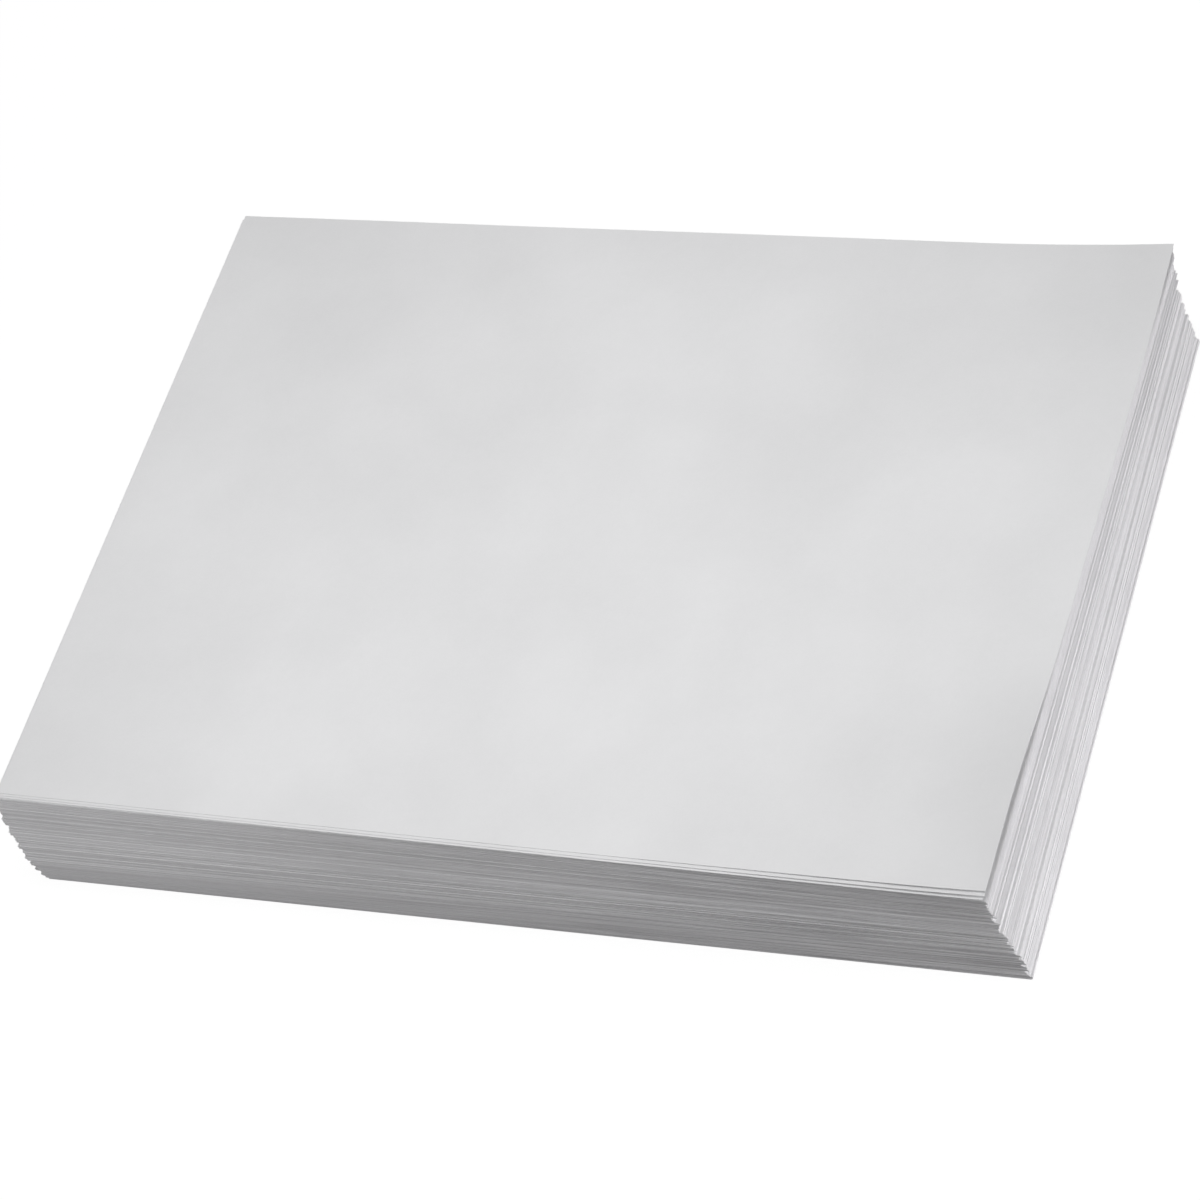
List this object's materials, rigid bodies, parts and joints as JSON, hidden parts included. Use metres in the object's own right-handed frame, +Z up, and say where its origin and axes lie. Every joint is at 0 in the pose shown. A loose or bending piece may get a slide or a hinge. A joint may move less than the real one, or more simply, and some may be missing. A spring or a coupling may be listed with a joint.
{
  "type": "pack of printing paper",
  "caption": "Unwrapped pack of plain white printing paper: a loose, slightly fanned stack of cut sheets, with the top sheets curling at their right corners.",
  "frame": {"origin": "middle of the bottom sheet's underside, where the pack rests", "axes": "+X along the sheets' long edge, +Y along their short edge towards the back, +Z up through the pack"},
  "size_m": [0.3021, 0.2173, 0.0447],
  "materials": {
    "paper": "matte, uncoated"
  },
  "bodies": {
    "root": {"sheets_001_to_010": "paper", "sheets_011_to_020": "paper", "sheets_021_to_030": "paper", "sheets_031_to_040": "paper", "sheets_041_to_050": "paper", "sheets_051_to_060": "paper", "sheets_061_to_070": "paper", "sheets_071_to_080": "paper", "sheets_081_to_090": "paper", "sheets_091_to_100": "paper", "sheets_101_to_110": "paper", "sheets_111_to_120": "paper", "sheets_121_to_130": "paper", "sheets_131_to_140": "paper", "sheets_141_to_150": "paper", "sheets_151_to_160": "paper", "sheets_161_to_170": "paper", "sheets_171_to_180": "paper", "sheets_181_to_190": "paper", "sheets_191_to_200": "paper", "sheets_201_to_210": "paper", "sheets_211_to_220": "paper", "sheets_221_to_230": "paper", "sheets_231_to_240": "paper", "sheets_241_to_250": "paper", "sheets_251_to_260": "paper", "sheets_261_to_270": "paper", "sheets_271_to_280": "paper", "sheets_281_to_290": "paper", "sheets_291_to_300": "paper", "sheets_301_to_310": "paper", "sheets_311_to_320": "paper", "sheets_321_to_330": "paper", "sheets_331_to_340": "paper", "sheets_341_to_350": "paper", "sheets_351_to_360": "paper", "sheets_361_to_370": "paper", "sheets_371_to_380": "paper", "sheets_381_to_390": "paper", "sheets_391_to_400": "paper", "sheets_401_to_410": "paper", "sheets_411_to_420": "paper", "sheets_421_to_430": "paper", "sheets_431_to_440": "paper", "sheets_441_to_450": "paper", "sheets_451_to_460": "paper", "sheets_461_to_470": "paper", "sheets_471_to_480": "paper", "sheets_481_to_490": "paper", "sheet_491": "paper", "sheet_492": "paper", "sheet_493": "paper", "sheet_494": "paper", "sheet_495": "paper", "sheet_496": "paper", "sheet_497": "paper", "sheet_498": "paper", "sheet_499": "paper", "sheet_500": "paper"}
  },
  "joints": []
}
